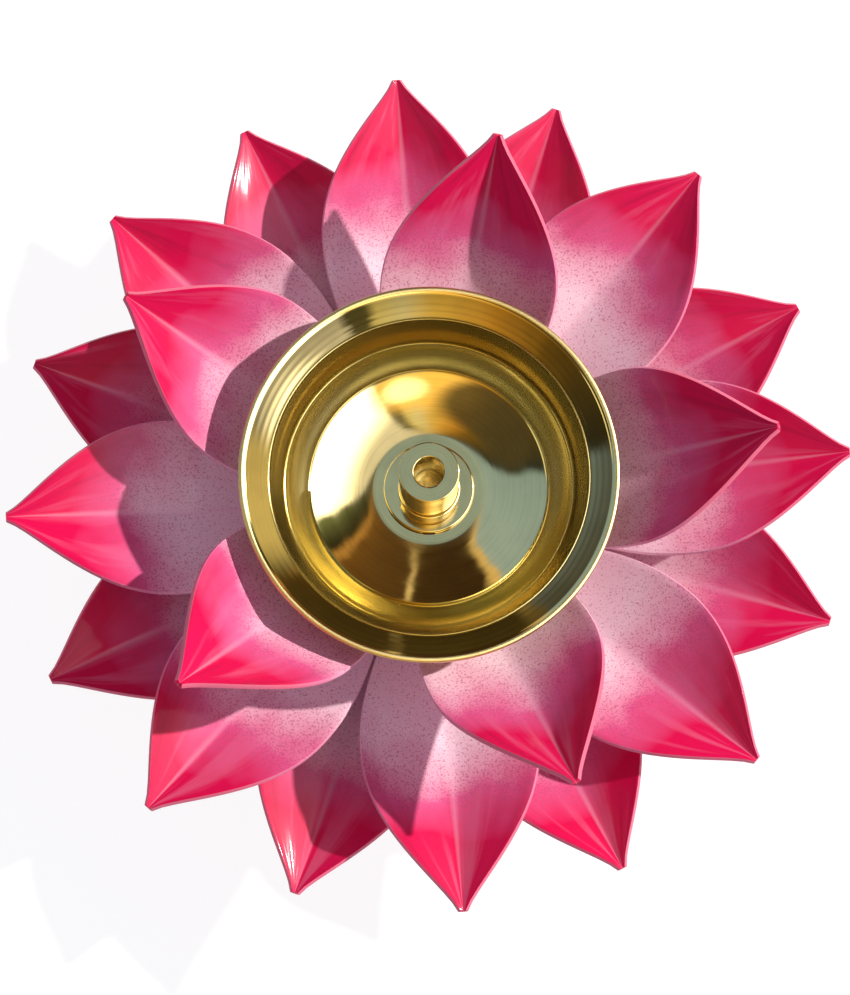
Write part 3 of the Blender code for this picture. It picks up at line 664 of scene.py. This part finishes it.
class LAMP_OT_wick_holder(bpy.types.Operator):
    """Turn the wick holder: bored collar, stem and a notched skirt"""
    bl_idname = "lamp.wick_holder"
    bl_label = "Wick Holder"
    bl_options = {"REGISTER", "UNDO"}

    bore_radius = 2.5 * MM
    collar_radius = 4.95 * MM
    collar_height = 6.0 * MM
    chamfer = 0.14 * MM
    groove = 0.4 * MM
    stem_radius = 4.85 * MM
    skirt_radius = 7.6 * MM
    skirt_height = 1.0 * MM
    skirt_fillet = 0.4 * MM
    skirt_rounding = 0.25 * MM
    skirt_inner = 4.3 * MM
    notch_length = 20.0 * MM
    notch_width = 2.0 * MM
    notch_height = 0.6 * MM
    margin = 0.06 * MM              # beside each rounding, so that the level faces shade flat

    def execute(self, context):
        lamp = context.scene
        bottom, top = HOLDER_LOW[2], HOLDER_HIGH[2]
        roof = SCREW_HIGH[2] + SEAT_GAP
        groove = top - self.collar_height
        skirt_top = bottom + self.skirt_height
        outline = [(self.bore_radius, roof)]
        outline += arc((self.bore_radius + self.chamfer, top - self.chamfer), (self.chamfer, self.chamfer),
                       180, 90, 4)
        outline += [(self.bore_radius + self.chamfer + self.margin, top),
                    (self.collar_radius - self.chamfer - self.margin, top)]
        outline += arc((self.collar_radius - self.chamfer, top - self.chamfer), (self.chamfer, self.chamfer),
                       90, 0, 4)
        outline += [(self.collar_radius, groove + 0.15 * MM), (self.collar_radius - 0.1 * MM, groove)]
        outline += arc((self.stem_radius, groove - self.groove), (self.groove, self.groove * 0.9),
                       100, 260, 6)
        fillet, edge = self.skirt_fillet, self.skirt_rounding
        outline += arc((self.stem_radius + fillet, skirt_top + fillet), (fillet, fillet), 180, 270, 8)
        outline += [(self.stem_radius + fillet + self.margin, skirt_top),
                    (self.skirt_radius - edge - self.margin, skirt_top)]
        outline += arc((self.skirt_radius - edge, skirt_top - edge), (edge, edge), 90, 0, 6)
        outline += [(self.skirt_radius, bottom), (self.skirt_inner, bottom), (self.skirt_inner, roof)]
        holder = turn_outline(outline, lamp.lamp_sizes.turned_sides)
        cut_cross(holder, "notch", self.notch_length, self.notch_width, self.notch_height, bottom)
        # Polished to a mirror on its level faces, which show the sky
        finish = turned_brass("polished_brass", lamp.lamp_colours.brass, roughness=0.06,
                              pitch=lamp.lamp_sizes.lathe_pitch * 0.7, tarnish=lamp.lamp_colours.tarnish,
                              dull_zone=(roof, top - 0.8 * MM))
        finish_piece(holder, "turned_wick_holder", finish, "holder", "wick_holder", sharp=30.0)
        return {"FINISHED"}


class LAMP_OT_foot(bpy.types.Operator):
    """Spin the trumpet foot and mould its rubber pad"""
    bl_idname = "lamp.foot"
    bl_label = "Foot and Pad"
    bl_options = {"REGISTER", "UNDO"}

    radius = 27.0 * MM
    flange = 4.5 * MM
    rim_height = 1.4 * MM
    neck_radius = 13.5 * MM
    wall = 1.2 * MM

    def execute(self, context):
        lamp = context.scene
        sides = lamp.lamp_sizes.turned_sides
        bottom, top = FOOT_LOW[2], FOOT_HIGH[2]
        flare_top, rim_top = top - self.wall, bottom + self.rim_height
        rim_inner, flange_inner = self.radius - self.rim_height, self.radius - self.flange
        inner_neck, underside = self.neck_radius - self.wall, top - self.wall
        inner_top, inner_bottom = underside - self.wall, rim_top - self.wall
        outline = [(SCREW_HOLE, top)]
        outline += arc((self.neck_radius - self.wall, flare_top), (self.wall, self.wall), 90, 0, 5)[:-1]
        outline += arc((rim_inner, flare_top), (rim_inner - self.neck_radius, flare_top - rim_top),
                       180, 270, 24)
        outline += arc((rim_inner, bottom + self.rim_height / 2), (self.rim_height, self.rim_height / 2),
                       60, -90, 10)
        outline += [(flange_inner, bottom)]
        outline += arc((flange_inner, inner_top), (flange_inner - inner_neck, inner_top - inner_bottom),
                       270, 180, 20)
        outline += [(inner_neck - self.wall / 2, underside), (SCREW_HOLE, underside)]
        foot = turn_outline(outline, sides)
        # Tinted lacquer over spun brass: deeper gold and softer light than the bare metal above
        finish = turned_brass("gold_lacquer", lamp.lamp_colours.lacquer, roughness=0.26,
                              pitch=lamp.lamp_sizes.lathe_pitch * 1.6)
        finish_piece(foot, "spun_foot", finish, "lamp_body", "base_stand", sharp=34.0)

        pad_low, pad_top = PAD_LOW[2], PAD_HIGH[2]
        ring = [(flange_inner, pad_low), (rim_inner, pad_low), (rim_inner, pad_top), (flange_inner, pad_top)]
        pad = turn_outline(ring, sides)
        bevel_piece(pad, 0.25 * MM, 3)
        rubber = moulded_rubber(lamp.lamp_colours.rubber)
        finish_piece(pad, "moulded_foot_pad", rubber, "lamp_body", "foot_pad")
        return {"FINISHED"}


class LAMP_OT_spacers(bpy.types.Operator):
    """Turn the stepped spacers between the tiers and the seat under the bowl"""
    bl_idname = "lamp.spacers"
    bl_label = "Spacers and Seat"
    bl_options = {"REGISTER", "UNDO"}

    spigot_radius = 5.0 * MM
    spigot_height = SHEET + 2 * SEAT_GAP

    def execute(self, context):
        lamp = context.scene
        sides = lamp.lamp_sizes.turned_sides // 2
        # Left as turned, never buffed: a broad, soft sheen
        finish = turned_brass("turned_brass", lamp.lamp_colours.brass, roughness=0.22,
                              pitch=lamp.lamp_sizes.lathe_pitch)
        for node in ("lower_spacer", "middle_spacer", "upper_spacer"):
            low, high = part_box(node)
            radius, shoulder = high[0], high[2] - self.spigot_height
            outline = [(SCREW_HOLE, low[2]), (radius, low[2]), (radius, shoulder),
                       (self.spigot_radius, shoulder), (self.spigot_radius, high[2]), (SCREW_HOLE, high[2])]
            spacer = turn_outline(outline, sides)
            bevel_piece(spacer, 0.2 * MM, 2)
            finish_piece(spacer, "turned_" + node, finish, "lamp_body", node)
        low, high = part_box("bowl_seat")
        seat = turn_outline(ring_outline(low, high), sides)
        bevel_piece(seat, 0.3 * MM, 2)
        finish_piece(seat, "turned_bowl_seat", finish, "lamp_body", "bowl_seat")
        return {"FINISHED"}


class LAMP_OT_fasteners(bpy.types.Operator):
    """Make the centre screw, its nut and the washers"""
    bl_idname = "lamp.fasteners"
    bl_label = "Screw, Nut and Washers"
    bl_options = {"REGISTER", "UNDO"}

    head_radius = 4.0 * MM
    head_height = 3.1 * MM
    thread_pitch = 0.7 * MM
    thread_depth = 0.38 * MM
    recess = (4.4 * MM, 1.1 * MM, 1.8 * MM)
    across_flats = 7.0 * MM

    def execute(self, context):
        sides = context.scene.lamp_sizes.turned_sides // 2
        colours = context.scene.lamp_colours
        zinc, rubber = zinc_plate(colours.zinc), moulded_rubber(colours.rubber)
        self.add_screw(sides, colours.brass)
        self.add_nut(zinc)
        for node, slot, finish, edge in (("base_washer", "zinc", zinc, 0.15 * MM),
                                         ("seal_washer", "rubber", rubber, 0.2 * MM)):
            low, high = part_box(node)
            ring = turn_outline(ring_outline(low, high), sides)
            bevel_piece(ring, edge, 2)
            finish_piece(ring, "round_" + node, finish, "lamp_body", node)
        self.add_spring_washer(zinc)
        return {"FINISHED"}

    def add_screw(self, sides, colour):
        """Pan head, plain neck, and a shank with a groove for each turn of the thread."""
        low, high = SCREW_LOW[2], SCREW_HIGH[2]
        underside = high - self.head_height
        crown = self.head_height * 0.45
        outline = [(0.0, high)]
        outline += arc((self.head_radius - crown, high - crown), (crown, crown), 85, 0, 8)
        outline += [(self.head_radius, underside), (SCREW_RADIUS, underside)]
        threads_top = FOOT_HIGH[2]
        outline.append((SCREW_RADIUS, threads_top))
        turns = int((threads_top - low - self.thread_pitch) / self.thread_pitch)
        for turn in range(turns):
            height = threads_top - (turn + 0.5) * self.thread_pitch
            outline += [(SCREW_RADIUS - self.thread_depth, height),
                        (SCREW_RADIUS, height - 0.45 * self.thread_pitch),
                        (SCREW_RADIUS, height - 0.5 * self.thread_pitch)]
        outline += [(SCREW_RADIUS * 0.7, low), (0.0, low)]
        screw = turn_outline(outline, sides)
        cut_cross(screw, "recess", *self.recess, high)
        # Fine machining marks and a dull shine
        finish = turned_brass("machined_brass", colour, roughness=0.3, pitch=0.2 * MM)
        finish_piece(screw, "pan_head_screw", finish, "lamp_body", "centre_screw")

    def add_nut(self, zinc):
        """A turned blank with chamfered ends, cut to six flats."""
        bottom, top = NUT_LOW[2], NUT_HIGH[2]
        corner = self.across_flats / math.sqrt(3)
        flat = self.across_flats / 2
        chamfer = (corner - flat) * 0.8
        outline = [(SCREW_HOLE + 0.3 * MM, bottom), (flat, bottom), (corner, bottom + chamfer),
                   (corner, top - chamfer), (flat, top), (SCREW_HOLE + 0.3 * MM, top),
                   (SCREW_HOLE, top - 0.3 * MM), (SCREW_HOLE, bottom + 0.3 * MM)]
        nut = turn_outline(outline, 96)
        bpy.ops.mesh.primitive_cylinder_add(vertices=6, radius=corner, depth=(top - bottom) * 1.2,
                                            location=(0, 0, (top + bottom) / 2), rotation=(0, 0, math.pi / 2))
        cut_piece(nut, bpy.context.object, "flats", "INTERSECT")
        finish_piece(nut, "chamfered_nut", zinc, "lamp_body", "hex_nut")

    def add_spring_washer(self, zinc):
        """A square section swept almost once round, with square ends at the split."""
        low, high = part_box("spring_washer")
        half_split = math.radians(7.0)
        deselect_all()
        bpy.ops.mesh.primitive_plane_add(size=1.0)
        ring = bpy.context.object
        section = ring_outline(low, high)
        # A plane's corners come row by row, the outline's go round
        for vertex, place in zip(ring.data.vertices, (0, 1, 3, 2)):
            radius, height = section[place]
            vertex.co = (radius * math.cos(half_split), radius * math.sin(half_split), height)
        bpy.ops.object.mode_set(mode="EDIT")
        bpy.ops.mesh.select_all(action="SELECT")
        bpy.ops.mesh.spin(steps=72, angle=math.tau - 2 * half_split, center=(0, 0, 0), axis=(0, 0, 1))
        bpy.ops.mesh.select_all(action="SELECT")
        bpy.ops.mesh.normals_make_consistent(inside=False)
        bpy.ops.object.mode_set(mode="OBJECT")
        bevel_piece(ring, 0.12 * MM, 2)
        finish_piece(ring, "split_spring_washer", zinc, "lamp_body", "spring_washer")


class LAMP_OT_stage(bpy.types.Operator):
    """Set the camera, the sun, the sky, the reflected surroundings and the white floor"""
    bl_idname = "lamp.stage"
    bl_label = "Stage"
    bl_options = {"REGISTER", "UNDO"}

    aim = (-0.65 * MM, -4.2 * MM)
    sun_place = (15.5, 55.5)        # bearing and angle from overhead
    brightest = (-8, 38)            # the same, for the middle of the dazzling side of the sky
    dome_radius = 2.5

    def execute(self, context):
        scene = context.scene
        sizes = scene.lamp_sizes
        self.add_camera(scene, sizes)
        self.add_floor()
        self.add_world(scene, sizes.sky_strength)
        self.add_sun(sizes.sun_strength)
        self.add_surroundings()
        scene.view_settings.view_transform = "Standard"
        return {"FINISHED"}

    def add_camera(self, scene, sizes):
        """The photograph's view: from the near side, almost straight down on the rim."""
        target = Vector((*self.aim, RIM_HEIGHT))
        back = Vector((0.0, -math.cos(sizes.view_height), math.sin(sizes.view_height)))
        bpy.ops.object.camera_add(location=target + back * sizes.view_distance)
        camera = bpy.context.object
        camera.rotation_euler = (math.pi / 2 - sizes.view_height, 0.0, 0.0)
        camera.data.lens = sizes.lens
        camera.data.sensor_width = 36.0
        camera.data.clip_start = 0.01
        scene.camera = camera

    def add_floor(self):
        """White paper: it takes the lamp's shadow faintly, and stays white where no shadow falls."""
        deselect_all()
        bpy.ops.mesh.primitive_plane_add(size=12.0, location=(0, 0, -0.05 * MM))
        floor = bpy.context.object
        floor.name = "paper_floor"
        made, tree, output = new_material("white_paper")
        paper = add_node(tree, "ShaderNodeBsdfDiffuse", {"Color": (*linear("#F3F3F3"), 1.0)})
        shadow = add_node(tree, "ShaderNodeBsdfDiffuse", {"Color": (*linear("#7C7C7C"), 1.0)})
        white = add_node(tree, "ShaderNodeEmission", {"Color": (*linear("#F1F1F1"), 1.0)})
        shown = add_node(tree, "ShaderNodeAddShader", {0: shadow.outputs[0], 1: white.outputs[0]})
        both = add_node(tree, "ShaderNodeMixShader", {0: seen_as_backdrop(tree), 1: paper.outputs[0],
                                                      2: shown.outputs[0]})
        tree.links.new(both.outputs[0], output.inputs[0])
        floor.data.materials.append(made)

    def add_world(self, scene, strength):
        """Cool sky light all round, and white behind the lamp."""
        world = bpy.data.worlds.new("open_sky")
        scene.world = world
        world.use_nodes = True
        tree = world.node_tree
        tree.nodes.clear()
        white = add_node(tree, "ShaderNodeBackground", {"Color": (*linear("#FFFFFF"), 1.0)})
        light = add_node(tree, "ShaderNodeBackground", {"Color": (*linear("#D9D3E6"), 1.0),
                                                        "Strength": strength})
        both = add_node(tree, "ShaderNodeMixShader", {0: seen_as_backdrop(tree), 1: light.outputs[0],
                                                      2: white.outputs[0]})
        output = add_node(tree, "ShaderNodeOutputWorld")
        tree.links.new(both.outputs[0], output.inputs[0])

    def add_sun(self, strength):
        """A hard, low sun on the right."""
        towards = direction(*self.sun_place)
        bpy.ops.object.light_add(type="SUN", rotation=towards.to_track_quat("Z", "Y").to_euler())
        sun = bpy.context.object
        sun.name = "low_sun"
        sun.data.energy = strength
        sun.data.angle = math.radians(1.5)
        sun.data.color = linear("#FFFBF3")

    def add_surroundings(self):
        """A dome that only reflections see, with light and dark wedges and round patches."""
        deselect_all()
        bpy.ops.mesh.primitive_uv_sphere_add(segments=64, ring_count=32, radius=self.dome_radius)
        dome = bpy.context.object
        dome.name = "reflected_surroundings"
        made, tree, output = new_material("outdoor_surroundings")
        place = add_node(tree, "ShaderNodeTexCoord").outputs["Object"]
        ray = add_node(tree, "ShaderNodeVectorMath", {0: place}, operation="NORMALIZE").outputs[0]
        split = add_node(tree, "ShaderNodeSeparateXYZ", {0: ray})
        # Uprights meet a little to the far side of overhead, as the lamp leans that much
        lean = add_node(tree, "ShaderNodeMath", {0: split.outputs[2], 1: -0.128, 2: split.outputs[1]},
                        operation="MULTIPLY_ADD")
        bearing = add_node(tree, "ShaderNodeMath", {0: lean.outputs[0], 1: split.outputs[0]},
                           operation="ARCTAN2")
        ragged = add_node(tree, "ShaderNodeTexNoise", {"Vector": ray, "Scale": 7.0, "Detail": 4.0})
        ragged = add_node(tree, "ShaderNodeMath", {0: ragged.outputs[0], 1: 0.5}, operation="SUBTRACT")
        bearing = add_node(tree, "ShaderNodeMath", {0: ragged.outputs[0], 1: 0.16, 2: bearing.outputs[0]},
                           operation="MULTIPLY_ADD")
        turn = add_node(tree, "ShaderNodeMath", {0: bearing.outputs[0], 1: math.tau}, operation="DIVIDE")
        turn = add_node(tree, "ShaderNodeMath", {0: turn.outputs[0]}, operation="FRACT")
        wedges = add_node(tree, "ShaderNodeValToRGB", {0: turn.outputs[0]})
        set_stops(wedges, [(degrees / 360, linear(shade)) for degrees, shade in SURROUNDINGS])
        # The bright side outshines white paper, but less so near the horizon
        bright = add_node(tree, "ShaderNodeVectorMath", {0: ray, 1: direction(*self.brightest)},
                          operation="DOT_PRODUCT")
        gain = add_node(tree, "ShaderNodeMapRange", {"Value": bright.outputs["Value"], "From Min": 0.84,
                                                     "From Max": 0.95, "To Min": 0.0, "To Max": 4.0},
                        interpolation_type="SMOOTHSTEP")
        high = add_node(tree, "ShaderNodeMapRange", {"Value": split.outputs[2], "From Min": 0.1,
                                                     "From Max": 0.75, "To Min": 0.12, "To Max": 1.0},
                        interpolation_type="SMOOTHSTEP")
        gain = add_node(tree, "ShaderNodeMath", {0: gain.outputs[0], 1: high.outputs[0], 2: high.outputs[0]},
                        operation="MULTIPLY_ADD")
        lit = add_node(tree, "ShaderNodeVectorMath", {0: wedges.outputs[0], "Scale": gain.outputs[0]},
                       operation="SCALE")
        # Darker and more olive towards the horizon
        low = add_node(tree, "ShaderNodeMapRange", {"Value": split.outputs[2], "From Min": 0.12,
                                                    "From Max": 0.5, "To Min": 0.45, "To Max": 0.0})
        lit = add_node(tree, "ShaderNodeMix", {0: low.outputs[0], 6: lit.outputs[0],
                                               7: (*linear("#6A5C34"), 1.0)}, data_type="RGBA")
        for azimuth, polar, fade, full, shade, strength, cover in PATCHES:
            towards = direction(azimuth, polar)
            near = add_node(tree, "ShaderNodeVectorMath", {0: ray, 1: towards}, operation="DOT_PRODUCT")
            near = add_node(tree, "ShaderNodeMapRange", {
                "Value": near.outputs["Value"], "From Min": math.cos(math.radians(fade)),
                "From Max": math.cos(math.radians(full)), "To Max": cover}, interpolation_type="SMOOTHSTEP")
            glare = (*(channel * strength for channel in linear(shade)), 1.0)
            lit = add_node(tree, "ShaderNodeMix", {0: near.outputs[0], 6: lit.outputs[2], 7: glare},
                           data_type="RGBA")
        glow = add_node(tree, "ShaderNodeEmission", {"Color": lit.outputs[2]})
        tree.links.new(glow.outputs[0], output.inputs[0])
        dome.data.materials.append(made)
        for kind in ("camera", "diffuse", "transmission", "volume_scatter", "shadow"):
            setattr(dome, "visible_" + kind, False)


class LAMP_PT_panel(bpy.types.Panel):
    """Lists the lamp's pieces and its stage"""
    bl_label = "Lotus Oil Lamp"
    bl_idname = "LAMP_PT_panel"
    bl_space_type = "VIEW_3D"
    bl_region_type = "UI"
    bl_category = "Lotus Lamp"

    def draw(self, context):
        layout = self.layout
        for group in (context.scene.lamp_colours, context.scene.lamp_sizes):
            for name in group.__annotations__:
                layout.prop(group, name)
        for operator in OPERATORS:
            layout.operator(operator.bl_idname)


OPERATORS = (LAMP_OT_stage, LAMP_OT_foot, LAMP_OT_spacers, LAMP_OT_fasteners, LAMP_OT_petals,
             LAMP_OT_bowl, LAMP_OT_wick_holder)
CLASSES = (LampColours, LampSizes, *OPERATORS, LAMP_PT_panel)


def register():
    """Make the lamp's settings, operators and panel known."""
    for item in CLASSES:
        bpy.utils.register_class(item)
    bpy.types.Scene.lamp_colours = PointerProperty(type=LampColours)
    bpy.types.Scene.lamp_sizes = PointerProperty(type=LampSizes)


def unregister():
    """Take them away again."""
    del bpy.types.Scene.lamp_sizes
    del bpy.types.Scene.lamp_colours
    for item in reversed(CLASSES):
        bpy.utils.unregister_class(item)


def main():
    """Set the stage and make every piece."""
    register()
    bpy.ops.lamp.stage()
    bpy.ops.lamp.foot()
    bpy.ops.lamp.spacers()
    bpy.ops.lamp.fasteners()
    bpy.ops.lamp.petals()
    bpy.ops.lamp.bowl()
    bpy.ops.lamp.wick_holder()


if __name__ == "__main__":
    main()
